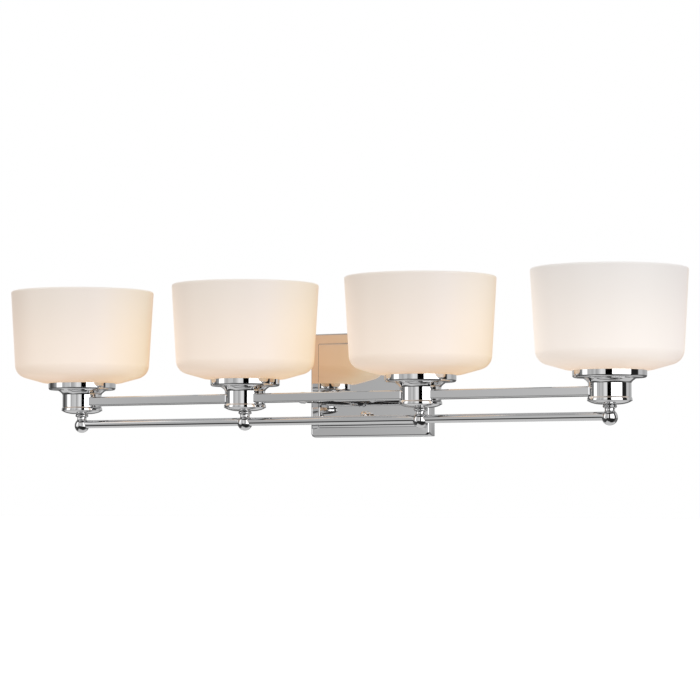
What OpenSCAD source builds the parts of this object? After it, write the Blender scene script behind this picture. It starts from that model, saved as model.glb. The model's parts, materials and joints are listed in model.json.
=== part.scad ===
// Vanity light bar: four glass shades on a flat chromed bar, with a round rod
// below it, held off a two-tier wall plate by two arms.
// Millimetres, +Z up, +X along the bar, the wall is the plane y = 0 and the
// light faces -Y. The origin is the centre of the wall plate, on the wall.

/* [Layout] */
// Distance between neighbouring lamp axes
lamp_pitch = 216; // [200:1:230]
// Distance from the wall to the lamp axes
lamp_reach = 97; // [94:1:115]
// Drop from the wall plate's centre to the bar's centre line
bar_drop = 16; // [10:1:20]
// Distance from the wall plate's centre to each arm
arm_offset = 43; // [36:1:50]
// Distance from the wall plate's centre to each cap nut
cap_nut_offset = 33.5; // [26:0.5:33.5]

/* [Wall plate] */
// Width of the wall plate
plate_w = 148; // [140:1:170]
// Height of the wall plate
plate_h = 114.4; // [112:0.1:130]
// Depth of the lower tier, from the wall to the border's face
tier_depth = 14; // [12:0.5:18]
// Height of the raised panel above the border
panel_rise = 4; // [2:0.5:6]
// Width of the border round the raised panel
border_w = 10.5; // [8:0.5:12]
// Rounding of the lower tier's front edges
tier_edge_r = 2.5; // [2:0.5:5]
// Rounding of the raised panel's front edges
panel_edge_r = 3.9; // [1.5:0.1:3.9]
// Thickness of the plate's sheet
plate_wall = 1.2; // [0.8:0.1:1.4]

/* [Bar, arms and rod] */
// Depth of the bar, from front to back
bar_depth = 25; // [22:0.5:27]
// Height of the bar
bar_height = 9.7; // [9:0.1:10.5]
// Wall of the bar's tube
bar_wall = 1.2; // [0.8:0.1:1.4]
// Diameter of each arm
arm_d = 10.4; // [10:0.1:11]
// Diameter of the collar where an arm meets the bar
arm_collar_d = 12.6; // [12:0.1:14]
// Diameter of the lower rod
rod_d = 8.9; // [8:0.1:9.4]

/* [Shades] */
// Diameter of a shade at its rim
shade_d = 160; // [150:1:170]
// Diameter of a shade where its wall meets its rounded bottom
shade_base_d = 150.4; // [142:0.1:156]
// Height of a shade
shade_h = 103; // [95:1:110]
// Thickness of the shade's glass
shade_wall = 4; // [3:0.5:5]
// Diameter of the cup that carries a shade
cup_d = 75.5; // [70:0.5:80]

/* [Lamps] */
// Diameter of a socket housing's cylinder
housing_d = 43.8; // [42:0.2:46]
// Diameter of the flared lip round a housing's foot
flare_d = 45.8; // [45:0.2:48]
// Diameter of a ball finial
ball_d = 16.3; // [15:0.1:17]
// Diameter of a light bulb
bulb_d = 60; // [48:1:60]
// Height of a light bulb, from its contact to its crown
bulb_h = 105; // [100:1:105]

/* [Hidden] */
$fn = 96;
LAMPS = [1, 2, 3, 4];
PER_LAMP = ["socket_housing", "shade_cup", "glass_shade", "lamp_socket", "screw_shell",
            "retaining_ring", "ball_finial", "bulb_cap", "bulb_globe"];
COMMON = ["wall_plate", "mounting_bracket", "bracket_studs", "cap_nut_upper", "cap_nut_lower",
          "ground_screw", "ground_wire", "arm_left", "arm_right", "arm_collars",
          "arm_lock_washers", "arm_lock_nuts", "upper_bar", "lower_rod", "lamp_nipples",
          "lamp_lock_nuts", "centre_contacts", "line_wires", "neutral_wires"];

// Heights on a lamp's axis, from the centre of its ball finial
ball_r = ball_d / 2;
neck_foot = 9.4;
neck_top = 12.9;
lip_h = 17.1;
bar_mid = 26.6;
bar_foot = bar_mid - bar_height / 2;
bar_top = bar_mid + bar_height / 2;
housing_top = 34.5;
step_top = 39.8;
cup_top = 47.8;
shade_top = cup_top + shade_h;

// Sizes inside a lamp
nipple_r = 4.95;
nipple_bore_r = 3;
nipple_foot = 10;
nipple_top = 35.4;
neck_r = 7.25;
floor_h = 18;
housing_bore_r = 20.3;
step_r = 26.9;
cup_wall = 1.8;
cup_hole_r = 17.2;
socket_foot = 33;
socket_body_r = 16.6;
socket_thread_r = 20;
socket_top = 70;
socket_floor = 38;
shell_r = 13.95;
shell_bore_r = 13.4;
shell_top = 67;
cap_r = 13;
bulb_foot = 40.7;
glass_hole_r = 21;
corner_r = 15;
corner_h = 20.3;
ring_foot = cup_top + shade_wall + 0.2;
ring_r = 27;

// Places of the shared parts
ball_z = -bar_drop - bar_mid;
rod_z = ball_z + 1.4;
end_x = 1.5 * lamp_pitch;
panel_y = -(tier_depth + panel_rise);
bar_back_y = -lamp_reach + bar_depth / 2;
bracket_t = 2;
stud_r = 2.05;
wire_r = 1.1;
wire_lift = 1.6;
wire_side = 7.5;
line_y = -lamp_reach + wire_side;
neutral_y = -lamp_reach - wire_side;
line_z = -bar_drop + wire_lift;
neutral_z = -bar_drop - wire_lift;
arm_bore_r = 3.6;
arm_tail_r = 4.9;
arm_tail_y = -9;

// Colours
CHROME = [0.80, 0.81, 0.83];
OPAL = [0.97, 0.93, 0.87];
ZINC = [0.70, 0.71, 0.70];
BRASS = [0.80, 0.65, 0.32];
COPPER = [0.75, 0.45, 0.28];

// Points along an arc of radius r about (cx, cy), from angle a0 to a1
function arc(cx, cy, r, a0, a1, n = 6) =
    [for (k = [0:n]) let (a = a0 + (a1 - a0) * k / n) [cx + r * cos(a), cy + r * sin(a)]];

function lamp_x(i) = (i - 2.5) * lamp_pitch;

// Moves a part built on a lamp's axis, from its ball's centre, to lamp i
module at_lamp(i) {
    translate([lamp_x(i), -lamp_reach, ball_z]) children();
}

// Turns a part built up +Z so that it points out from the wall, towards -Y
module from_wall(x, y, z) {
    translate([x, y, z]) rotate([90, 0, 0]) children();
}

// A round bar from point a to point b
module link(a, b, r) {
    run = b - a;
    translate(a)
        rotate([0, acos(run[2] / norm(run)), atan2(run[1], run[0])])
            cylinder(h = norm(run), r = r);
}

// A wire through points, rounded at its bends
module wire(points, r) {
    for (k = [1:len(points) - 1]) link(points[k - 1], points[k], r);
    for (k = [1:len(points) - 2]) translate(points[k]) sphere(r = r);
}

// Section of a tray: its front corners, towards -Y, are rounded
module tray_section(w, depth, r) {
    translate([-w / 2, r - depth]) square([w, depth - r]);
    translate([r - w / 2, -depth]) square([w - 2 * r, depth]);
    for (side = [-1, 1]) translate([side * (w / 2 - r), r - depth]) circle(r = r);
}

// A block on the wall with rounded front edges
module tray_block(w, h, depth, r) {
    intersection() {
        linear_extrude(h, center = true) tray_section(w, depth, r);
        rotate([0, 90, 0]) linear_extrude(w, center = true) tray_section(h, depth, r);
    }
}

// Rectangle with rounded corners, centred
module round_rect(w, h, r) {
    square([w - 2 * r, h], center = true);
    square([w, h - 2 * r], center = true);
    for (x = [-1, 1], y = [-1, 1]) translate([x * (w / 2 - r), y * (h / 2 - r)]) circle(r = r);
}

// Drawn-steel plate with a border and a raised panel, open at the wall
module wall_plate() {
    panel_w = plate_w - 2 * border_w;
    panel_h = plate_h - 2 * border_w;
    thick = 2 * plate_wall;
    depth = tier_depth + panel_rise;
    color(CHROME) difference() {
        union() {
            tray_block(plate_w, plate_h, tier_depth, tier_edge_r);
            tray_block(panel_w, panel_h, depth, panel_edge_r);
        }
        translate([0, 1, 0])
            tray_block(plate_w - thick, plate_h - thick, tier_depth + 1 - plate_wall,
                       tier_edge_r - plate_wall);
        tray_block(panel_w - thick, panel_h - thick, depth - plate_wall,
                   panel_edge_r - plate_wall / 2);
        for (side = [-1, 1]) {
            from_wall(side * arm_offset, 0, -bar_drop) cylinder(h = depth + 1, r = arm_tail_r + 0.1);
            from_wall(0, 0, side * cap_nut_offset) cylinder(h = depth + 1, r = stud_r + 0.1);
        }
    }
}

// Steel strap that is screwed to the outlet box and carries the plate's studs
module mounting_bracket() {
    strap_w = 18;
    strap_l = 106;
    slot_l = 12;
    slot_r = 2.3;
    slot_offset = 44.45;
    color(ZINC) from_wall(0, 0, 0) linear_extrude(bracket_t) difference() {
        round_rect(strap_w, strap_l, 4);
        for (side = [-1, 1]) {
            translate([0, side * slot_offset]) {
                square([2 * slot_r, slot_l - 2 * slot_r], center = true);
                for (end = [-1, 1]) translate([0, end * (slot_l / 2 - slot_r)]) circle(r = slot_r);
            }
            translate([0, side * cap_nut_offset]) circle(r = stud_r + 0.05);
        }
        translate([0, 12]) circle(r = 2.1);
    }
}

module bracket_studs() {
    color(ZINC) for (side = [-1, 1]) {
        from_wall(0, 0, side * cap_nut_offset) {
            cylinder(h = -panel_y + 6, r = stud_r);
            translate([0, 0, bracket_t]) difference() {
                cylinder(h = 2.6, r = 4.6, $fn = 6);
                translate([0, 0, -1]) cylinder(h = 5, r = stud_r);
            }
        }
    }
}

// Domed nut that holds the plate on a stud, bored from its flat face
module cap_nut() {
    nut_r = 4.4;
    nut_h = 11;
    dome_r = 4;
    outline = concat([[0, 0], [nut_r - 0.3, 0], [nut_r, 0.3], [nut_r, 1.5], [dome_r, 1.9]],
                     arc(0, nut_h - dome_r, dome_r, 0, 90, 8));
    color(CHROME) difference() {
        rotate_extrude() polygon(outline);
        translate([0, 0, -1]) cylinder(h = 7.2, r = stud_r + 0.07);
    }
}

module cap_nut_upper() {
    from_wall(0, panel_y - 0.2, cap_nut_offset) cap_nut();
}

module cap_nut_lower() {
    from_wall(0, panel_y - 0.2, -cap_nut_offset) cap_nut();
}

// Green slotted screw that earths the bracket
module ground_screw() {
    color([0.10, 0.45, 0.20]) from_wall(0, 0, 12) {
        cylinder(h = bracket_t, r = 2.1);
        translate([0, 0, bracket_t]) difference() {
            cylinder(h = 2.4, r = 4);
            translate([0, 0, 2.2]) cube([10, 1, 1.6], center = true);
        }
    }
}

// Bare copper wire from the bracket's screw to a weld on the plate's back
module ground_wire() {
    bend_x = -24;
    lift_y = -3.4;
    color(COPPER) wire([[-4.2, lift_y, 12], [bend_x, lift_y, 12], [bend_x, panel_y + plate_wall, 12]], 0.9);
}

// Tube with a thinner threaded tail that passes through the plate
module arm(side) {
    reach = panel_y - bar_back_y;
    color(CHROME) difference() {
        union() {
            from_wall(side * arm_offset, panel_y, -bar_drop) cylinder(h = reach, d = arm_d);
            from_wall(side * arm_offset, arm_tail_y, -bar_drop)
                cylinder(h = arm_tail_y - panel_y + 1, r = arm_tail_r);
        }
        from_wall(side * arm_offset, 0, -bar_drop) cylinder(h = lamp_reach, r = arm_bore_r);
    }
}

module arm_left() {
    arm(-1);
}

module arm_right() {
    arm(1);
}

module arm_collars() {
    collar_l = 3.6;
    color(CHROME) for (side = [-1, 1])
        from_wall(side * arm_offset, bar_back_y + collar_l, -bar_drop)
            rotate_extrude() polygon([[arm_d / 2, 0], [arm_collar_d / 2 - 0.6, 0], [arm_collar_d / 2, 0.6],
                                      [arm_collar_d / 2, collar_l - 0.4],
                                      [arm_collar_d / 2 - 0.4, collar_l], [arm_d / 2, collar_l]]);
}

module arm_lock_washers() {
    color(ZINC) for (side = [-1, 1])
        from_wall(side * arm_offset, panel_y + plate_wall + 0.8, -bar_drop) difference() {
            cylinder(h = 0.8, r = 8);
            translate([0, 0, -1]) cylinder(h = 3, r = arm_tail_r + 0.05);
        }
}

module arm_lock_nuts() {
    nut_t = 3.4;
    color(ZINC) for (side = [-1, 1])
        from_wall(side * arm_offset, panel_y + plate_wall + 0.8 + nut_t, -bar_drop) difference() {
            cylinder(h = nut_t, r = 8, $fn = 6);
            translate([0, 0, -1]) cylinder(h = nut_t + 2, r = arm_tail_r);
        }
}

// Flat rectangular tube through the four housings, also the wireway
module upper_bar() {
    bar_l = 2 * end_x + 30;
    inner_depth = bar_depth - 2 * bar_wall;
    inner_height = bar_height - 2 * bar_wall;
    color(CHROME) difference() {
        translate([0, -lamp_reach, -bar_drop]) rotate([90, 0, 90])
            linear_extrude(bar_l, center = true) difference() {
                round_rect(bar_depth, bar_height, 1.4);
                square([inner_depth, inner_height], center = true);
            }
        for (i = LAMPS) at_lamp(i) {
            translate([0, 0, bar_foot - 1]) cylinder(h = bar_height + 2, r = nipple_r + 0.05);
            for (side = [-1, 1])
                translate([0, side * wire_side, bar_mid]) cylinder(h = bar_height, r = wire_r + 0.3);
        }
        for (side = [-1, 1])
            from_wall(side * arm_offset, bar_back_y + 1, -bar_drop) cylinder(h = bar_depth / 2, r = arm_bore_r);
    }
}

// Round rod through the finials: it ends blind in the two end balls
module lower_rod() {
    rod_l = 2 * end_x + 4;
    color(CHROME) translate([0, -lamp_reach, rod_z]) rotate([0, 90, 0])
        cylinder(h = rod_l, d = rod_d, center = true);
}

// Turned ball with a waist and a stud, cross-bored for the rod
module ball_finial(i) {
    bore_l = ball_d + 2;
    blind = i == 1 ? 1 : i == 4 ? -1 : 0;
    waist_r = 5.3;
    waist_foot = sqrt(ball_r * ball_r - waist_r * waist_r) - 0.3;
    color(CHROME) difference() {
        union() {
            sphere(r = ball_r);
            translate([0, 0, waist_foot]) cylinder(h = neck_foot - waist_foot, r = waist_r);
            cylinder(h = 17, r = nipple_bore_r - 0.05);
        }
        translate([blind * (bore_l / 2 - 2.3), 0, rod_z - ball_z]) rotate([0, 90, 0])
            cylinder(h = bore_l, d = rod_d + 0.1, center = true);
    }
}

// Hollow threaded tubes that clamp finial, housing, bar and socket together
module lamp_nipples() {
    color(ZINC) for (i = LAMPS) at_lamp(i) difference() {
        translate([0, 0, nipple_foot]) cylinder(h = nipple_top - nipple_foot, r = nipple_r);
        translate([0, 0, nipple_foot - 1]) cylinder(h = nipple_top, r = nipple_bore_r);
    }
}

module lamp_lock_nuts() {
    nut_t = 3;
    color(ZINC) for (i = LAMPS) at_lamp(i) translate([0, 0, floor_h]) difference() {
        cylinder(h = nut_t, r = 8, $fn = 6);
        translate([0, 0, -1]) cylinder(h = nut_t + 2, r = nipple_r);
    }
}

// Cast cylinder with a collared neck, a domed foot and a flared lip
module socket_housing(i) {
    flare_r = flare_d / 2;
    body_r = housing_d / 2;
    from_x = i == 1 ? -16 : -housing_d;
    to_x = i == 4 ? 16 : housing_d;
    outline = concat(
        [[nipple_r + 0.1, neck_foot]],
        arc(neck_r - 1.8, neck_foot + 1.8, 1.8, -90, 50, 6),
        [[neck_r + 0.8, neck_top], [15.5, 13.4], [20, 15.4], [flare_r - 0.9, lip_h - 0.6]],
        arc(flare_r - 0.6, lip_h, 0.6, -60, 0, 4),
        [[flare_r - 0.15, 19.3], [body_r + 0.2, 20.1], [body_r, 20.8],
         [body_r, housing_top], [housing_bore_r, housing_top], [housing_bore_r, floor_h],
         [nipple_r + 0.1, floor_h]]);
    color(CHROME) difference() {
        rotate_extrude() polygon(outline);
        translate([from_x, -bar_depth / 2 - 0.05, bar_foot - 0.05])
            cube([to_x - from_x, bar_depth + 0.1, bar_height + 0.1]);
    }
}

// Shallow cup on a flaring cove: it carries the glass
module shade_cup() {
    cup_r = cup_d / 2;
    edge_r = 2.4;
    inner_edge_r = 1.2;
    body_r = housing_d / 2;
    floor_top = step_top + cup_wall;
    cup_foot = step_top + 0.1;
    outline = concat(
        [[housing_bore_r, housing_top], [body_r, housing_top], [body_r + 0.5, housing_top + 0.7],
         [body_r + 2.6, housing_top + 2.8], [step_r, step_top - 0.5], [cup_r - edge_r, cup_foot]],
        arc(cup_r - edge_r - 0.15, cup_foot + edge_r, edge_r, -75, -15, 5),
        [[cup_r, cup_top - 3.3], [cup_r, cup_top - 0.4], [cup_r - 0.4, cup_top],
         [cup_r - cup_wall, cup_top]],
        arc(cup_r - cup_wall - inner_edge_r, floor_top + inner_edge_r, inner_edge_r, 0, -90, 4),
        [[cup_hole_r, floor_top], [cup_hole_r, step_top - 0.2], [housing_bore_r, step_top - 0.2]]);
    color(CHROME) rotate_extrude() polygon(outline);
}

// Opal glass bowl with a flat floor, a sloping bottom, a rounded corner and a flaring wall
module glass_shade() {
    foot_r = 43.5;
    slope = 16;
    lean = atan((shade_d - shade_base_d) / 2 / (shade_h - corner_h));
    rim_r = shade_d / 2;
    lip_r = shade_wall / 2;
    corner_x = shade_base_d / 2 - corner_r;
    corner_z = cup_top + corner_h;
    outline = concat(
        [[glass_hole_r, cup_top], [foot_r, cup_top]],
        arc(corner_x, corner_z, corner_r, slope - 90, -lean, 10),
        arc(rim_r - lip_r, shade_top - lip_r, lip_r, 0, 180, 8),
        arc(corner_x, corner_z, corner_r - shade_wall, -lean, slope - 90, 10),
        [[foot_r - 0.4, cup_top + shade_wall], [glass_hole_r, cup_top + shade_wall]]);
    color(OPAL) rotate_extrude() polygon(outline);
}

// Moulded socket: a stepped body, threaded outside for the retaining ring
module lamp_socket() {
    shoulder_h = step_top + cup_wall;
    color([0.93, 0.91, 0.86]) difference() {
        union() {
            translate([0, 0, socket_foot]) cylinder(h = shoulder_h - socket_foot, r = socket_body_r);
            translate([0, 0, shoulder_h]) cylinder(h = 24, r = socket_thread_r);
            translate([0, 0, shoulder_h]) cylinder(h = socket_top - shoulder_h, r = 18);
        }
        translate([0, 0, socket_floor]) cylinder(h = 40, r = shell_r + 0.05);
        translate([0, 0, socket_foot - 1]) cylinder(h = nipple_top - socket_foot + 1.1, r = nipple_r + 0.05);
        for (side = [-1, 1])
            translate([0, side * wire_side, socket_foot - 1]) cylinder(h = 3, r = wire_r + 0.1);
    }
}

module screw_shell() {
    shell_foot = 42;
    color(BRASS) translate([0, 0, shell_foot]) difference() {
        cylinder(h = shell_top - shell_foot, r = shell_r);
        translate([0, 0, -1]) cylinder(h = 40, r = shell_bore_r);
    }
}

// Brass tongues on the sockets' floors that touch the bulbs' tips
module centre_contacts() {
    color(BRASS) for (i = LAMPS) at_lamp(i) translate([0, 0, socket_floor]) {
        translate([-4, -3, 0]) cube([12, 6, 0.6]);
        cylinder(h = 2.4, r1 = 3, r2 = 2.2);
    }
}

// Threaded ring with finger notches that clamps a shade on its cup
module retaining_ring() {
    flange_t = 2.4;
    hub_h = 7;
    color([0.90, 0.88, 0.83]) translate([0, 0, ring_foot]) difference() {
        union() {
            cylinder(h = flange_t, r = ring_r);
            cylinder(h = hub_h, r = 23);
        }
        translate([0, 0, -1]) cylinder(h = hub_h + 2, r = socket_thread_r + 0.08);
        for (a = [0:45:315]) rotate(a) translate([ring_r + 1, 0, -1]) cylinder(h = 5, r = 3);
    }
}

// Screw cap of a bulb: tip, insulator, thread and skirt
module bulb_cap() {
    thread_foot = bulb_foot + 5.6;
    color(BRASS) rotate_extrude() polygon(concat(
        [[0, bulb_foot], [3.6, bulb_foot], [4.6, bulb_foot + 0.8], [4.8, bulb_foot + 1.6],
         [9.5, thread_foot - 1], [12, thread_foot - 0.4]],
        [[cap_r, thread_foot + 0.6], [cap_r, 62], [12.8, 63], [12.8, 66.5], [0, 66.5]]));
}

// Thin frosted bulb: a round head on a tapering neck
module bulb_globe() {
    head_r = bulb_d / 2;
    head_h = bulb_foot + bulb_h - head_r;
    neck_h = 66.5;
    skin = 1;
    start = -35;
    neck = function (k, r, drop)
        let (t = k / 8, low = [12.6 - drop, neck_h + drop],
             top = [r * cos(start), head_h + r * sin(start)])
        [low[0] + (top[0] - low[0]) * (t * t * (3 - 2 * t) * 0.65 + t * 0.35),
         low[1] + (top[1] - low[1]) * t];
    color([1, 0.96, 0.88]) rotate_extrude() polygon(concat(
        [for (k = [0:7]) neck(k, head_r, 0)],
        arc(0, head_h, head_r, start, 90, 16),
        arc(0, head_h, head_r - skin, 90, start, 16),
        [for (k = [7:-1:0]) neck(k, head_r - skin, skin)],
        [[0, neck_h + skin], [0, neck_h]]));
}

// One insulated conductor: a run in the bar, a thinner riser to each socket and
// a lead back through the right arm that ends in the plate
module conductor(y, z, tail_z) {
    branch_r = wire_r - 0.1;
    lead_y = -5;
    riser_h = socket_foot + 1.8 - (z - ball_z);
    link([-end_x - 3, y, z], [end_x + 3, y, z], wire_r);
    for (i = LAMPS) at_lamp(i)
        translate([0, y + lamp_reach, z - ball_z]) cylinder(h = riser_h, r = branch_r);
    wire([[arm_offset, y, z], [arm_offset, lead_y, z], [arm_offset, lead_y, tail_z]], branch_r);
}

module line_wires() {
    color([0.12, 0.12, 0.12]) conductor(line_y, line_z, 34);
}

module neutral_wires() {
    color([0.92, 0.92, 0.90]) conductor(neutral_y, neutral_z, -46);
}

wall_plate();
mounting_bracket();
bracket_studs();
cap_nut_upper();
cap_nut_lower();
ground_screw();
ground_wire();
arm_left();
arm_right();
arm_collars();
arm_lock_washers();
arm_lock_nuts();
upper_bar();
lower_rod();
lamp_nipples();
lamp_lock_nuts();
centre_contacts();
line_wires();
neutral_wires();
for (i = LAMPS) {
    at_lamp(i) socket_housing(i);
    at_lamp(i) shade_cup();
    at_lamp(i) glass_shade();
    at_lamp(i) lamp_socket();
    at_lamp(i) screw_shell();
    at_lamp(i) retaining_ring();
    at_lamp(i) ball_finial(i);
    at_lamp(i) bulb_cap();
    at_lamp(i) bulb_globe();
}
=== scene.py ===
"""The looks of a four-light vanity bar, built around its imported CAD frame.

Turned parts are lathed again at a fine pitch, because polished chrome shows
every facet. Everything is in metres, in the part's frame: +X along the bar,
+Z up, the wall is y = 0 and the light faces -Y.
"""
import json
import math

import bmesh
import bpy
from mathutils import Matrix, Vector


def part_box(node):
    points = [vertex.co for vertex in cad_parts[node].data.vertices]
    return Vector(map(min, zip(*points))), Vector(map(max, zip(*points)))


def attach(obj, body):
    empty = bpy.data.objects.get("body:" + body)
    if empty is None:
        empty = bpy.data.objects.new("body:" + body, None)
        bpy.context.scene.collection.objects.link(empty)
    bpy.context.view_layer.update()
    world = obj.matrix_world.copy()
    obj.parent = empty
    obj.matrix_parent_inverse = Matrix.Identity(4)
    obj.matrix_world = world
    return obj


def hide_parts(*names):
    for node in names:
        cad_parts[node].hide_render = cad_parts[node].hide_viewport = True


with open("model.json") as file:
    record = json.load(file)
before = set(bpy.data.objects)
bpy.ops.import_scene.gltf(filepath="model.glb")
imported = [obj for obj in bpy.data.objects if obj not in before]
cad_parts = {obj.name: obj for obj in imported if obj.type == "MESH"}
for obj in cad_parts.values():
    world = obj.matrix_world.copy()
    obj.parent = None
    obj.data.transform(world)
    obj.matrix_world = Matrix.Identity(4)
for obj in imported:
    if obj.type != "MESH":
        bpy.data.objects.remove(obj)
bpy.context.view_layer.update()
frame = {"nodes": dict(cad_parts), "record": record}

MM = 0.001
LAMPS = (1, 2, 3, 4)
LATHE_STEPS = 128


# ---------------------------------------------------------------- the frame's sizes

def size(node):
    low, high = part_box(node)
    return Vector(high) - Vector(low)


def middle(node):
    low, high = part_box(node)
    return (Vector(low) + Vector(high)) / 2


def lamp_axis(i):
    """The foot of lamp i's axis: the centre of its ball finial."""
    low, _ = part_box(f"ball_finial_{i}")
    shade = middle(f"glass_shade_{i}")
    ball_r = size(f"ball_finial_{i}").y / 2
    return Vector((shade.x, shade.y, low[2] + ball_r))


# ---------------------------------------------------------------- mesh helpers

def finish_mesh(name, bm, sharp_deg=35):
    bmesh.ops.remove_doubles(bm, verts=bm.verts, dist=1e-7)
    bmesh.ops.recalc_face_normals(bm, faces=bm.faces)
    mesh = bpy.data.meshes.new(name)
    bm.to_mesh(mesh)
    bm.free()
    for face in mesh.polygons:
        face.use_smooth = True
    mesh.set_sharp_from_angle(angle=math.radians(sharp_deg))
    obj = bpy.data.objects.new(name, mesh)
    bpy.context.scene.collection.objects.link(obj)
    return obj


def hold_edges(points, gap=0.12, shortest=1.0):
    """Adds a point near each end of a long straight stretch, to keep its reflections straight."""
    out = []
    for a, b in zip(points, points[1:] + points[:1]):
        out.append(a)
        run = math.dist(a, b)
        if run > shortest:
            for t in (gap / run, 1 - gap / run):
                out.append(tuple(p + (q - p) * t for p, q in zip(a, b)))
    return out


def lathe(name, profile, foot=(0, 0, 0), axis="Z", steps=LATHE_STEPS, closed=True, sharp_deg=35):
    """Turns (radius, height) points in millimetres about an axis through foot."""
    bm = bmesh.new()
    turn = {"Z": lambda r, h, a: (r * math.cos(a), r * math.sin(a), h),
            "X": lambda r, h, a: (h, r * math.cos(a), r * math.sin(a)),
            "-Y": lambda r, h, a: (r * math.cos(a), -h, r * math.sin(a))}[axis]
    rings = []
    held = hold_edges(profile)
    if not closed:
        held = held[:held.index(profile[-1]) + 1]
    for r, h in held:
        if r < 1e-6:
            rings.append([bm.verts.new(Vector(turn(0, h, 0)) * MM + Vector(foot))])
            continue
        ring = [bm.verts.new(Vector(turn(r, h, 2 * math.pi * k / steps)) * MM + Vector(foot))
                for k in range(steps)]
        rings.append(ring)
    pairs = list(zip(rings, rings[1:]))
    if closed:
        pairs.append((rings[-1], rings[0]))
    for low, high in pairs:
        if len(low) == 1 and len(high) == 1:
            continue
        for k in range(steps):
            n = (k + 1) % steps
            corners = [low[k % len(low)], low[n % len(low)],
                       high[n % len(high)], high[k % len(high)]]
            corners = list(dict.fromkeys(corners))
            if len(corners) > 2:
                bm.faces.new(corners)
    return finish_mesh(name, bm, sharp_deg)


def loft(name, rings, sharp_deg=35):
    """Skins closed rings of points, in metres; the first and last rings are capped."""
    bm = bmesh.new()
    skin = [[bm.verts.new(p) for p in ring] for ring in rings]
    for low, high in zip(skin, skin[1:]):
        for k in range(len(low)):
            n = (k + 1) % len(low)
            bm.faces.new((low[k], low[n], high[n], high[k]))
    bm.faces.new(skin[0])
    bm.faces.new(list(reversed(skin[-1])))
    return finish_mesh(name, bm, sharp_deg)


def rounded_rectangle(w, h, r, n=8):
    """Points round a rectangle with rounded corners, in millimetres."""
    out = []
    for sx, sy, start in ((1, 1, 0), (-1, 1, 90), (-1, -1, 180), (1, -1, 270)):
        out += arc(sx * (w / 2 - r), sy * (h / 2 - r), r, start, start + 90, n)
    return out


def arc(cx, cy, r, start, end, n=10):
    """Points on an arc, angles in degrees."""
    return [(cx + r * math.cos(math.radians(start + (end - start) * k / n)),
             cy + r * math.sin(math.radians(start + (end - start) * k / n))) for k in range(n + 1)]


def bend(p0, p1, p2, n=8):
    """Points on a quadratic curve from p0 to p2, pulled towards p1."""
    out = []
    for k in range(n + 1):
        t = k / n
        out.append(tuple(a * (1 - t) ** 2 + 2 * b * t * (1 - t) + c * t * t
                         for a, b, c in zip(p0, p1, p2)))
    return out


# ---------------------------------------------------------------- materials

# A shade's glow, painted into the glass as emission in place of the bulb's light through it, from
# its front to the side by the wall, which is warmer and darker as painted shade where the studio's
# light doesn't reach: for the shade at the end, and for those that another lit shade stands beside,
# whose light is painted in too; then the painted glow from a shade's foot to its rim
END_PAINTED_GLOW = [(0.0, (0.62, 0.525, 0.445)), (1.0, (0.55, 0.28, 0.11)), (0.30, (0.64, 0.55, 0.475)),
            (0.58, (0.59, 0.50, 0.44)), (0.75, (0.55, 0.36, 0.19))]
ROW_PAINTED_GLOW = [(0.0, (0.61, 0.475, 0.355)), (1.0, (0.55, 0.28, 0.11)), (0.16, (0.59, 0.455, 0.35)),
            (0.30, (0.575, 0.43, 0.295)), (0.47, (0.55, 0.395, 0.24)), (0.58, (0.54, 0.39, 0.225)),
            (0.75, (0.54, 0.31, 0.13))]
PAINTED_GLOW_BY_HEIGHT = [(0.0, (1.13, 1.00, 0.86)), (1.0, (0.86, 0.88, 0.90)),
                  (0.04, (1.13, 1.08, 1.02)), (0.10, (1.11, 1.10, 1.09)),
                  (0.24, (1.10, 1.10, 1.10)), (0.45, (1.05, 1.05, 1.05)),
                  (0.80, (0.92, 0.93, 0.94))]


def new_material(name):
    mat = bpy.data.materials.new(name)
    mat.use_nodes = True
    nodes = mat.node_tree.nodes
    return mat, nodes, mat.node_tree.links, nodes["Principled BSDF"]


def noise(nodes, links, scale, detail=3.0):
    coords = nodes.new("ShaderNodeTexCoord")
    tex = nodes.new("ShaderNodeTexNoise")
    tex.inputs["Scale"].default_value = scale
    tex.inputs["Detail"].default_value = detail
    links.new(coords.outputs["Object"], tex.inputs["Vector"])
    return tex


def object_axes(nodes, links):
    """The X, Y and Z of a point in its object's own frame."""
    coords = nodes.new("ShaderNodeTexCoord")
    split = nodes.new("ShaderNodeSeparateXYZ")
    links.new(coords.outputs["Object"], split.inputs["Vector"])
    return split.outputs


def ramp(nodes, links, source, stops):
    node = nodes.new("ShaderNodeValToRGB")
    elements = node.color_ramp.elements
    for k, (pos, value) in enumerate(stops):
        element = elements[k] if k < 2 else elements.new(pos)
        element.position = pos
        element.color = value if len(value) == 4 else (*value, 1)
    links.new(source, node.inputs["Fac"])
    return node


def grey(v):
    return (v, v, v, 1)


def metal(name, color, rough, rough_spread=0.03, grain=900.0, bump=0.0):
    """Polished or plated metal: faint haze patches in its roughness, and a fine grain."""
    mat, nodes, links, bsdf = new_material(name)
    bsdf.inputs["Base Color"].default_value = (*color, 1)
    bsdf.inputs["Metallic"].default_value = 1.0
    haze = noise(nodes, links, grain)
    spread = ramp(nodes, links, haze.outputs["Fac"],
                  [(0.35, grey(rough)), (0.7, grey(rough + rough_spread))])
    links.new(spread.outputs["Color"], bsdf.inputs["Roughness"])
    if bump:
        rise = nodes.new("ShaderNodeBump")
        rise.inputs["Strength"].default_value = bump
        rise.inputs["Distance"].default_value = 0.0001
        links.new(haze.outputs["Fac"], rise.inputs["Height"])
        links.new(rise.outputs["Normal"], bsdf.inputs["Normal"])
    return mat


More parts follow.
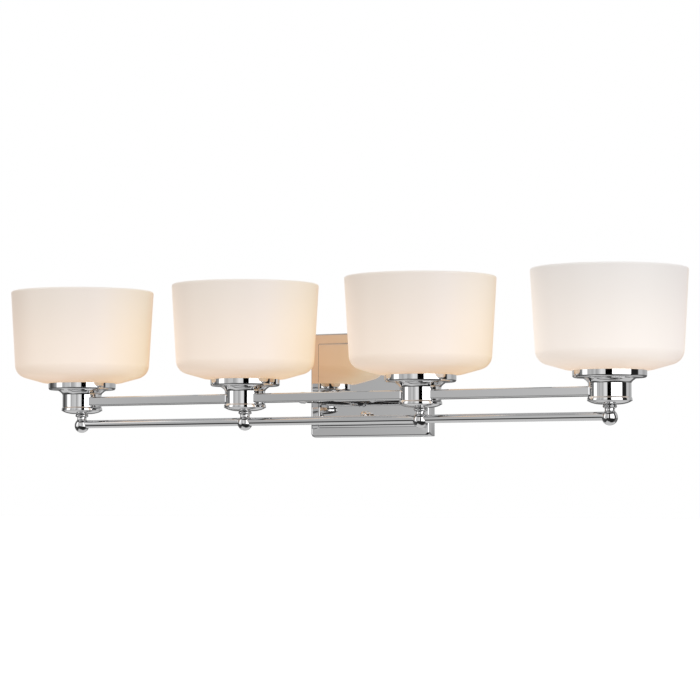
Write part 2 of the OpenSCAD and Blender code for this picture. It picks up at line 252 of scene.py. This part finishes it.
def plastic(name, color, rough, spread=0.08, grain=500.0, coat=0.0):
    mat, nodes, links, bsdf = new_material(name)
    tex = noise(nodes, links, grain)
    tint = ramp(nodes, links, tex.outputs["Fac"],
                [(0.3, tuple(c * 0.93 for c in color)),
                 (0.7, tuple(min(c * 1.04, 1) for c in color))])
    links.new(tint.outputs["Color"], bsdf.inputs["Base Color"])
    rough_ramp = ramp(nodes, links, tex.outputs["Fac"],
                      [(0.3, grey(rough)), (0.7, grey(rough + spread))])
    links.new(rough_ramp.outputs["Color"], bsdf.inputs["Roughness"])
    bsdf.inputs["Coat Weight"].default_value = coat
    return mat


def opal_glass(name, low, high, painted_glow_by_depth):
    """Satin opal glass with a bulb behind it: cool white in reflection, and a painted glow in its
    emission that stands for the bulb's light through the glass; the glow is deeper low down, and
    warmer and darker on the side that faces the chromed plate, as painted shade where the studio's
    light falls less."""
    mat, nodes, links, bsdf = new_material(name)
    bsdf.inputs["Roughness"].default_value = 0.38
    bsdf.inputs["Specular IOR Level"].default_value = 0.30
    cloud = noise(nodes, links, 14.0, 2.0)
    milk = ramp(nodes, links, cloud.outputs["Fac"],
                [(0.3, (0.68, 0.77, 0.86)), (0.7, (0.71, 0.80, 0.88))])
    links.new(milk.outputs["Color"], bsdf.inputs["Base Color"])
    axes = object_axes(nodes, links)
    painted_glows = []
    # two ramps of painted glow, across the shade from front to wall and up from foot to rim;
    # multiplied, they feed the emission
    for axis, stops in (("Y", painted_glow_by_depth), ("Z", PAINTED_GLOW_BY_HEIGHT)):
        span = nodes.new("ShaderNodeMapRange")
        span.inputs["From Min"].default_value = low["XYZ".index(axis)]
        span.inputs["From Max"].default_value = high["XYZ".index(axis)]
        links.new(axes[axis], span.inputs["Value"])
        painted_glows.append(ramp(nodes, links, span.outputs["Result"], stops))
    both = nodes.new("ShaderNodeMixRGB")
    both.blend_type = "MULTIPLY"
    both.inputs["Fac"].default_value = 1.0
    links.new(painted_glows[0].outputs["Color"], both.inputs["Color1"])
    links.new(painted_glows[1].outputs["Color"], both.inputs["Color2"])
    links.new(both.outputs["Color"], bsdf.inputs["Emission Color"])
    bsdf.inputs["Emission Strength"].default_value = 1.0
    return mat


def glowing(name, color, strength):
    mat, nodes, links, bsdf = new_material(name)
    bsdf.inputs["Base Color"].default_value = (0.45, 0.44, 0.42, 1)
    bsdf.inputs["Roughness"].default_value = 0.45
    tex = noise(nodes, links, 60.0)
    tint = ramp(nodes, links, tex.outputs["Fac"],
                [(0.2, color), (0.8, tuple(min(1, c * 1.08) for c in color))])
    links.new(tint.outputs["Color"], bsdf.inputs["Emission Color"])
    bsdf.inputs["Emission Strength"].default_value = strength
    return mat


# ---------------------------------------------------------------- outlines

# Each outline is (radius, height) points in millimetres, up from the centre of the lamp's ball;
# the cap nut's start at its seat on the plate

def housing_profile():
    wall_r, bore_r, hole_r, foot, floor_h, top = 21.9, 20.3, 5.05, 9.4, 18.0, 34.5
    outer = [(hole_r, foot)] + arc(5.45, 11.2, 1.8, -90, 55, 14)
    outer += bend((6.6, 12.75), (6.7, 13.0), (7.6, 12.95), 4)
    outer += bend((8.0, 12.95), (17.0, 13.1), (wall_r, 16.3), 16)
    outer += arc(22.25, 17.0, 0.65, -50, 5, 5)
    outer += bend((22.85, 17.4), (22.75, 19.2), (22.55, 19.5), 6)
    outer += bend((22.45, 19.75), (22.2, 20.0), (wall_r, 20.7), 6)
    return outer + [(wall_r, top), (bore_r, top), (bore_r, floor_h), (hole_r, floor_h)]


def cup_profile():
    bore_r, hole_r, wall_r, foot, floor_h = 20.3, 17.2, 37.75, 34.5, 39.6
    outer = [(bore_r, foot), (21.9, foot)]
    outer += bend((22.0, 34.9), (22.6, 36.6), (26.4, 39.0), 10) + arc(26.5, 39.35, 0.3, -60, 60, 3)
    outer += [(35.0, 39.95)] + arc(35.3, 42.3, 2.4, -83, -8, 12)
    outer += bend((37.69, 42.2), (wall_r, 43.2), (wall_r, 44.6), 4) + [(wall_r, 47.2)]
    outer += arc(37.35, 47.4, 0.4, 0, 90, 4)
    inner = [(35.95, 47.8)] + arc(34.75, 42.8, 1.2, 0, -90, 5)
    return outer + inner + [(hole_r, 41.6), (hole_r, floor_h), (bore_r, floor_h)]


def shade_profile():
    corner_x, corner_z, corner_r, slope, lean, wall = 60.2, 68.1, 15.0, 16.0, 3.4, 4.0
    rim_r, top, low, foot_r, hole_r = 80.0, 150.8, 47.8, 43.5, 21.0
    lip = wall / 2
    outer = [(hole_r, low), (foot_r - 3, low)]
    outer += bend((foot_r - 2, low), (foot_r, low), (foot_r + 2, low + 0.55), 5)
    outer += arc(corner_x, corner_z, corner_r, slope - 90, -lean, 28)
    rim = arc(rim_r - lip, top - lip, lip, 0, 180, 12)
    inner = arc(corner_x, corner_z, corner_r - wall, -lean, slope - 90, 28)
    return outer + rim + inner + [(foot_r - 0.4, low + wall), (hole_r, low + wall)]


def finial_profile():
    ball_r, waist, top = 8.15, 5.2, 9.4
    start = math.degrees(math.asin(waist / ball_r))
    outer = [(0.0, -ball_r)] + arc(0, 0, ball_r, -89, 90 - start - 4, 44)
    outer += bend((waist + 0.15, 6.5), (waist - 0.25, 7.3), (waist + 0.1, top), 8)
    return outer + [(0.0, top)]


def cap_nut_profile():
    nut_r, dome_r, nut_h, bore_r, bore_h, edge = 4.4, 4.0, 11.0, 2.12, 6.2, 0.3
    outer = [(bore_r, 0.0), (nut_r - edge, 0.0)] + arc(nut_r - edge, edge, edge, -90, 0, 4)
    outer += arc(nut_r - edge, 1.3, edge, 0, 80, 4) + [(dome_r, 1.9)]
    outer += arc(0, nut_h - dome_r, dome_r, 0, 90, 16)[:-1]
    return outer + [(0.0, nut_h), (0.0, bore_h), (bore_r, bore_h)]


def screw_thread(r, foot, turns, pitch, depth):
    """A rolled thread's outline, as rounded ridges between foot and its last turn."""
    per_turn = 8
    out = []
    for k in range(turns * per_turn + 1):
        dip = 0.5 - 0.5 * math.cos(2 * math.pi * k / per_turn)
        out.append((r - depth * dip, foot + pitch * k / per_turn))
    return out


def bulb_cap_profile():
    foot, skirt_r, top = 40.7, 12.8, 66.5
    tip = [(0.0, foot), (3.4, foot), (4.6, foot + 0.9), (4.8, foot + 1.6),
           (9.5, foot + 4.6), (11.6, foot + 5.2)]
    thread = screw_thread(r=13.0, foot=foot + 5.6, turns=5, pitch=3.3, depth=0.9)
    return tip + thread + [(skirt_r, 63.4), (skirt_r, top), (0.0, top)]


def bulb_globe_profile():
    head_r, head_h, neck_h, start, steps = 30.0, 115.7, 66.5, -35.0, 20
    head = arc(0, head_h, head_r, start, 90, 40)
    low, top = (12.6, neck_h), head[0]
    neck = []
    for k in range(steps):
        t = k / steps
        ease = t * t * (3 - 2 * t) * 0.65 + t * 0.35
        neck.append((low[0] + (top[0] - low[0]) * ease, low[1] + (top[1] - low[1]) * t))
    return [(0.0, neck_h)] + neck + head[:-1] + [(0.0, head_h + head_r)]


def plate_rings():
    """Rings of the drawn plate, in metres: down its hollow back to the wall, round the rim,
    then out over the border and the raised panel."""
    low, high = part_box("wall_plate")
    w, h, depth = (size("wall_plate") / MM).xzy
    middle_x, middle_z = (low[0] + high[0]) / 2, (low[2] + high[2]) / 2
    rise, border, tier_r, panel_r, sheet = 4.0, 10.5, 2.5, 3.7, 1.2
    tier = depth - rise

    def ring(inset, y, corner):
        outline = rounded_rectangle(w - 2 * inset, h - 2 * inset, corner)
        return [(middle_x + x * MM, -y * MM, middle_z + z * MM) for x, z in outline]

    def edge(inset, top, r, corner, steps=8):
        out = []
        for k in range(steps + 1):
            a = math.pi / 2 * k / steps
            step = r * (1 - math.cos(a))
            out.append(ring(inset + step, top - r + r * math.sin(a), max(corner - step, 0.4)))
        return out

    back = [ring(border + sheet + 4.0, depth - sheet, 1.0),
            ring(border + sheet + 3.6, depth - sheet, 1.0)]
    back += list(reversed(edge(border + sheet, depth - sheet, 3.0, 3.5, 5)))
    back += [ring(border + sheet, tier - sheet, 3.5), ring(border + sheet - 0.2, tier - sheet, 3.5)]
    back += list(reversed(edge(sheet, tier - sheet, 1.5, 4.0, 4)))
    back += [ring(sheet, 6.0, 1.0), ring(sheet, 0.0, 0.6)]
    front = [ring(0.3, 0.0, 0.8), ring(0.0, 0.3, 0.9), ring(0.0, 6.0, 1.2), ring(0.0, 9.0, 3.2)]
    front += edge(0.0, tier, tier_r, 5.0)
    front += [ring(tier_r + 0.25, tier, 2.6), ring(border - 0.5, tier, 1.4),
              ring(border - 0.15, tier + 0.05, 1.5)]
    front += edge(border, depth, panel_r, 1.6)
    front += [ring(border + panel_r + 0.3, depth, 1.0), ring(border + panel_r + 1.0, depth, 1.0)]
    return back + front


def bar_rings():
    """Rings of the drawn bar, in metres, with a held edge near each end."""
    low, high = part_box("upper_bar")
    centre = middle("upper_bar")
    edge_r, end_gap = 1.4, 0.2 * MM
    outline = hold_edges(rounded_rectangle(*(size("upper_bar") / MM).yz, edge_r))
    return [[(x, centre.y + y * MM, centre.z + z * MM) for y, z in outline]
            for x in (low[0], low[0] + end_gap, high[0] - end_gap, high[0])]


def stand_in(piece, node, body, mat):
    """Puts a drawn piece in a CAD node's place, on the node's body."""
    piece.data.materials.clear()
    piece.data.materials.append(mat)
    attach(piece, body)
    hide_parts(node)


# ---------------------------------------------------------------- build

CHROME = metal("polished_chrome", (0.82, 0.82, 0.825), 0.015, 0.02, 700.0)
ZINC = metal("zinc_plate", (0.62, 0.63, 0.62), 0.28, 0.15, 250.0, bump=0.15)
BRASS = metal("bright_brass", (0.80, 0.62, 0.28), 0.18, 0.1, 300.0)
CAP_METAL = metal("rolled_cap", (0.75, 0.75, 0.73), 0.25, 0.1, 400.0)
COPPER = metal("bare_copper", (0.78, 0.42, 0.25), 0.22, 0.12, 300.0)
GREEN = metal("green_screw", (0.05, 0.35, 0.12), 0.30, 0.1, 300.0)
CERAMIC = plastic("socket_porcelain", (0.86, 0.84, 0.78), 0.12, 0.05, 120.0, coat=0.6)
RING = plastic("ring_moulding", (0.85, 0.83, 0.77), 0.35)
BLACK_WIRE = plastic("black_insulation", (0.02, 0.02, 0.02), 0.45)
WHITE_WIRE = plastic("white_insulation", (0.80, 0.80, 0.77), 0.45)
BULB = glowing("lit_frosted_bulb", (0.92, 0.78, 0.56), 0.75)

# Two copies of the glass that differ only in painted light: the row's glow has a lit neighbour's
# light painted in, the end's does not
END_GLASS_PAINTED_GLOW = opal_glass("opal_glass_painted_glow_end", *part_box("glass_shade_1"), END_PAINTED_GLOW)
ROW_GLASS_PAINTED_GLOW = opal_glass("opal_glass_painted_glow_row", *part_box("glass_shade_1"), ROW_PAINTED_GLOW)

PIECES = {
    "socket_housing": (housing_profile, CHROME, "chrome", "fixture"),
    "shade_cup": (cup_profile, CHROME, "chrome", "fixture"),
    "glass_shade": (shade_profile, ROW_GLASS_PAINTED_GLOW, "opal_glass", "fixture"),
    "ball_finial": (finial_profile, CHROME, "chrome", "fixture"),
    "bulb_cap": (bulb_cap_profile, CAP_METAL, "cap_metal", "bulb_{}"),
    "bulb_globe": (bulb_globe_profile, BULB, "frosted_glass", "bulb_{}"),
}
for i in LAMPS:
    foot = lamp_axis(i)
    for part, (outline, mat, slot, body) in PIECES.items():
        # the shade at the end takes the glass whose painted glow has no neighbour's light in it
        if part == "glass_shade" and i == max(LAMPS):
            mat = END_GLASS_PAINTED_GLOW
        turned = lathe(f"{part}_turned_{i}", outline(), foot)
        stand_in(turned, f"{part}_{i}", body.format(i), mat)

stand_in(loft("wall_plate_drawn", plate_rings()), "wall_plate", "fixture", CHROME)
stand_in(loft("upper_bar_drawn", bar_rings()), "upper_bar", "fixture", CHROME)

ROD_CHAMFER = 0.4
rod_low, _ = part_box("lower_rod")
rod_l, _, rod_d = size("lower_rod") / MM
rod_r = rod_d / 2
rod_foot = (rod_low[0], middle("lower_rod").y, middle("lower_rod").z)
rod_outline = [(0, 0), (rod_r - ROD_CHAMFER, 0), (rod_r, ROD_CHAMFER),
               (rod_r, rod_l - ROD_CHAMFER), (rod_r - ROD_CHAMFER, rod_l), (0, rod_l)]
rod = lathe("lower_rod_polished", rod_outline, rod_foot, "X", closed=False)
stand_in(rod, "lower_rod", "fixture", CHROME)

for place in ("upper", "lower"):
    _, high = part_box(f"cap_nut_{place}")
    centre = middle(f"cap_nut_{place}")
    nut = lathe(f"cap_nut_{place}_domed", cap_nut_profile(), (centre.x, high[1], centre.z), "-Y")
    stand_in(nut, f"cap_nut_{place}", f"nut_{place}", CHROME)

CAD_LOOKS = {
    "chrome": CHROME, "zinc": ZINC, "brass": BRASS, "cap_metal": CAP_METAL, "copper": COPPER,
    "green_screw": GREEN, "socket_ceramic": CERAMIC, "ring_plastic": RING,
    "black_insulation": BLACK_WIRE, "white_insulation": WHITE_WIRE, "opal_glass": ROW_GLASS_PAINTED_GLOW,
    "frosted_glass": BULB,
}
for entry in frame["record"]["subparts"]:
    mesh = frame["nodes"][entry["node"]].data
    mesh.materials.clear()
    mesh.materials.append(CAD_LOOKS[entry["material_slot"]])


# ---------------------------------------------------------------- studio

CAMERA_PLACE = Vector((1.4203, -2.5651, -0.1207))
CAMERA_TURN = math.radians(29.513)
CAMERA_PITCH = math.radians(3.11)
CAMERA_LENS = 137.24
FLOOR_DROP = 0.55


def add_camera():
    data = bpy.data.cameras.new("camera")
    data.lens = CAMERA_LENS
    data.sensor_width = 36.0
    data.clip_end = 200.0
    camera = bpy.data.objects.new("camera", data)
    camera.location = CAMERA_PLACE
    camera.rotation_euler = (math.radians(90) + CAMERA_PITCH, 0, CAMERA_TURN)
    bpy.context.scene.collection.objects.link(camera)
    bpy.context.scene.camera = camera


def add_floor():
    bm = bmesh.new()
    bmesh.ops.create_grid(bm, x_segments=8, y_segments=8, size=40)
    floor = finish_mesh("pale_floor", bm)
    floor.location = (0, 0, -FLOOR_DROP)
    mat, nodes, links, bsdf = new_material("pale_floor")
    bsdf.inputs["Base Color"].default_value = (0.86, 0.86, 0.86, 1)
    bsdf.inputs["Roughness"].default_value = 0.9
    bsdf.inputs["Emission Color"].default_value = (1, 1, 1, 1)
    bsdf.inputs["Emission Strength"].default_value = 0.8
    floor.data.materials.append(mat)
    floor.visible_glossy = False
    floor.visible_diffuse = False


# The studio round the light, by the angle to the right of the camera, in degrees: how bright
# it is at eye level, the angle below eye level where a dark band starts, how bright that band
# is, and the angle below eye level where the floor starts
STUDIO = [
    (-180, 0.50, 1, 0.12, 20), (-150, 0.50, 1, 0.12, 24), (-140, 0.20, 3, 0.10, 32),
    (-128, 0.05, 6, 0.08, 46), (-112, 0.13, 6, 0.08, 50), (-100, 0.32, 10, 0.05, 50),
    (-76, 0.50, 20, 0.04, 48), (-66, 0.55, 20, 0.04, 44), (-60, 0.44, 20, 0.04, 44),
    (-53, 0.62, 12, 0.04, 50), (-40, 0.62, 4, 0.03, 60), (4, 1.9, 12, 0.02, 76),
    (62, 1.9, 14, 0.02, 76), (64, 0.02, 8, 0.02, 74), (91, 0.02, 8, 0.10, 64),
    (95, 0.62, 6, 0.20, 50), (110, 0.60, 4, 0.20, 40), (121, 0.42, 2, 0.15, 34),
    (140, 0.50, 1, 0.12, 26), (180, 0.50, 1, 0.12, 20),
]
FLOOR_GREY = 0.62
CEILING_GREY = 0.30
CEILING_ON_MATT = 1.1
LIGHT_ON_MATT = 0.42
# The sine of the elevation over which the wall turns into the ceiling, and how softly the edges
# of the dark band and of the floor begin
CEILING_START, CEILING_END = 0.62, 0.78
BAND_BLUR, FLOOR_BLUR = 0.02, 0.03


# Two cards that the chrome reflects: where each end stands, in metres to the viewer's right of
# the light and out from it, and its brightness from the first end to the second
CARDS = {
    "front_card": ((-1.40, 1.627), (0.345, 1.627),
                   [(0.0, 0.42), (1.0, 0.0), (0.17, 0.47), (0.26, 0.54), (0.34, 0.68), (0.46, 0.90),
                    (0.56, 0.84), (0.676, 0.80), (0.69, 0.0)]),
    "side_card": ((-2.528, -0.214), (-2.280, 0.76),
                  [(0.0, 0.9), (1.0, 0.75), (0.08, 1.4), (0.88, 1.4)]),
}
CARD_LOW, CARD_HIGH = -0.35, 1.6


def add_cards():
    """Upright cards that are seen only in reflections."""
    cos, sin = math.cos(CAMERA_TURN), math.sin(CAMERA_TURN)
    for name, (start, end, shades) in CARDS.items():
        ends = [Vector((u * cos + v * sin, u * sin - v * cos + middle("upper_bar").y, 0))
                for u, v in (start, end)]
        bm = bmesh.new()
        corners = [(0, 0, CARD_LOW), (1, 0, CARD_LOW), (1, 0, CARD_HIGH), (0, 0, CARD_HIGH)]
        bm.faces.new([bm.verts.new(c) for c in corners])
        card = finish_mesh(name, bm)
        run = ends[1] - ends[0]
        card.location = ends[0]
        card.rotation_euler = (0, 0, math.atan2(run.y, run.x))
        card.scale = (run.length, 1, 1)
        mat, nodes, links, bsdf = new_material(name)
        along = object_axes(nodes, links)["X"]
        glow = ramp(nodes, links, along, [(pos, (v, v, v)) for pos, v in shades])
        links.new(glow.outputs["Color"], bsdf.inputs["Emission Color"])
        bsdf.inputs["Emission Strength"].default_value = 1.0
        bsdf.inputs["Base Color"].default_value = (0, 0, 0, 1)
        bsdf.inputs["Specular IOR Level"].default_value = 0.0
        card.data.materials.append(mat)
        card.visible_camera = False
        card.visible_diffuse = False
        card.visible_shadow = False


def add_world():
    world = bpy.data.worlds.new("studio")
    bpy.context.scene.world = world
    world.use_nodes = True
    nodes, links = world.node_tree.nodes, world.node_tree.links
    nodes.clear()

    def math_node(kind, *values):
        node = nodes.new("ShaderNodeMath")
        node.operation = kind
        for socket, value in zip(node.inputs, values):
            if isinstance(value, (int, float)):
                socket.default_value = value
            else:
                links.new(value, socket)
        return node.outputs["Value"]

    def by_angle(column, scale=lambda v: v):
        stops = [((row[0] + 180) / 360, grey(scale(row[column]))) for row in STUDIO]
        return ramp(nodes, links, around, stops[:1] + stops[-1:] + stops[1:-1]).outputs["Color"]

    def blend(factor, first, second):
        node = nodes.new("ShaderNodeMixRGB")
        for socket, value in zip(node.inputs, (factor, first, second)):
            if isinstance(value, tuple):
                socket.default_value = value
            else:
                links.new(value, socket)
        return node.outputs["Color"]

    def rises(value, start, end):
        node = nodes.new("ShaderNodeMapRange")
        links.new(value, node.inputs["Value"])
        node.inputs["From Min"].default_value = start
        node.inputs["From Max"].default_value = end
        return node.outputs["Result"]

    coords = nodes.new("ShaderNodeTexCoord")
    turn = nodes.new("ShaderNodeVectorRotate")
    turn.rotation_type = "Z_AXIS"
    turn.inputs["Angle"].default_value = -CAMERA_TURN
    links.new(coords.outputs["Generated"], turn.inputs["Vector"])
    split = nodes.new("ShaderNodeSeparateXYZ")
    links.new(turn.outputs["Vector"], split.inputs["Vector"])
    to_camera = math_node("MULTIPLY", split.outputs["Y"], -1.0)
    angle = math_node("ARCTAN2", split.outputs["X"], to_camera)
    around = math_node("MULTIPLY_ADD", angle, 1 / (2 * math.pi), 0.5)
    height = split.outputs["Z"]

    paths = nodes.new("ShaderNodeLightPath")
    walls = by_angle(1)
    # a ramp's stops can't be negative, so the lower edge is kept as a depth below eye level
    edge_depth = by_angle(2, lambda deg: math.sin(math.radians(deg)))
    shadow = by_angle(3)
    floor_depth = by_angle(4, lambda deg: math.sin(math.radians(deg)))
    above = rises(height, CEILING_START, CEILING_END)
    ceiling = blend(paths.outputs["Is Diffuse Ray"], grey(CEILING_GREY), grey(CEILING_ON_MATT))
    upper = blend(above, walls, ceiling)
    over_edge = rises(math_node("ADD", height, edge_depth), -BAND_BLUR, BAND_BLUR)
    eye_level = blend(over_edge, shadow, upper)
    near_floor = rises(math_node("ADD", height, floor_depth), FLOOR_BLUR, -FLOOR_BLUR)
    studio_color = blend(near_floor, eye_level, grey(FLOOR_GREY))

    studio = nodes.new("ShaderNodeBackground")
    links.new(studio_color, studio.inputs["Color"])
    dimmed = math_node("MULTIPLY_ADD", paths.outputs["Is Diffuse Ray"], LIGHT_ON_MATT - 1.0, 1.0)
    links.new(dimmed, studio.inputs["Strength"])
    seen = nodes.new("ShaderNodeBackground")
    seen.inputs["Color"].default_value = (1, 1, 1, 1)
    mix = nodes.new("ShaderNodeMixShader")
    links.new(paths.outputs["Is Camera Ray"], mix.inputs["Fac"])
    links.new(studio.outputs["Background"], mix.inputs[1])
    links.new(seen.outputs["Background"], mix.inputs[2])
    out = nodes.new("ShaderNodeOutputWorld")
    links.new(mix.outputs["Shader"], out.inputs["Surface"])


add_camera()
add_floor()
add_cards()
add_world()
bpy.context.scene.view_settings.view_transform = "Standard"
